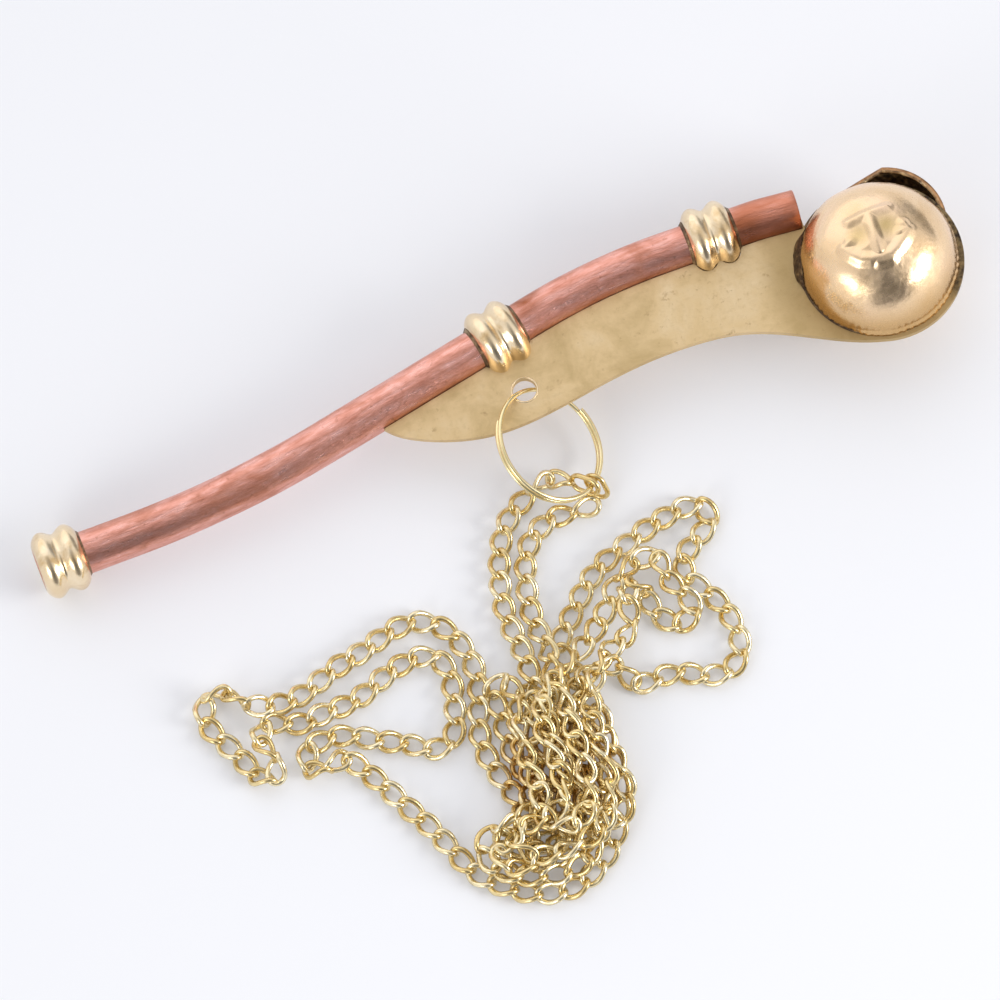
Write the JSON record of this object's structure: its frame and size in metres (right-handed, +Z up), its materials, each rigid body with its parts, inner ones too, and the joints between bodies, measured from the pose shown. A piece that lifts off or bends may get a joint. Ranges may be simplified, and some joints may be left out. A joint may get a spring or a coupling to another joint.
{
  "type": "boatswain's call with neck chain",
  "caption": "Copper and brass boatswain's call lying on its side, with a split ring and a heaped neck chain.",
  "frame": {"origin": "bottom centre of the call and its split ring, on the surface they lie on", "axes": "+X along the call from the mouth end to the ball, +Y to the blowing tube's side and away from the chain, +Z up"},
  "size_m": [0.1275, 0.0815, 0.0209],
  "materials": {
    "copper": "brushed copper with a warm patina",
    "brass": "satin",
    "polished_brass": "polished",
    "solder": "dark and matt",
    "chain_metal": "bright"
  },
  "bodies": {
    "call": {"gun_tube": "copper", "mouth_ring": "polished_brass", "mouth_solder": "solder", "middle_ring": "polished_brass", "middle_solder": "solder", "exit_ring": "polished_brass", "exit_solder": "solder", "keel_plate": "brass", "buoy_front_dome": "polished_brass", "buoy_rear_dome": "polished_brass", "wind_hood": "copper", "front_seam_solder": "solder", "rear_seam_solder": "solder"},
    "chain": {"chain_end_link_a": "chain_metal", "chain_end_link_b": "chain_metal", "chain_lead_a": "chain_metal", "chain_left_loops": "chain_metal", "chain_right_loop": "chain_metal", "chain_lead_b": "chain_metal", "chain_heap": "chain_metal"},
    "ring_body": {"split_ring": "chain_metal"}
  },
  "joints": [
    {"name": "chain_swing", "type": "hinge", "parent": "call", "child": "chain", "pos_m": [0.00336, 0, 0.00782], "axis": [0, 0, 1], "range_deg": [-12, 12]},
    {"name": "ring_turn", "type": "hinge", "parent": "chain", "child": "ring_body", "pos_m": [0.00404, -0.0076, 0.00649], "axis": [0.53, -0.1, 0.8421], "range_deg": [-30, 30]}
  ]
}
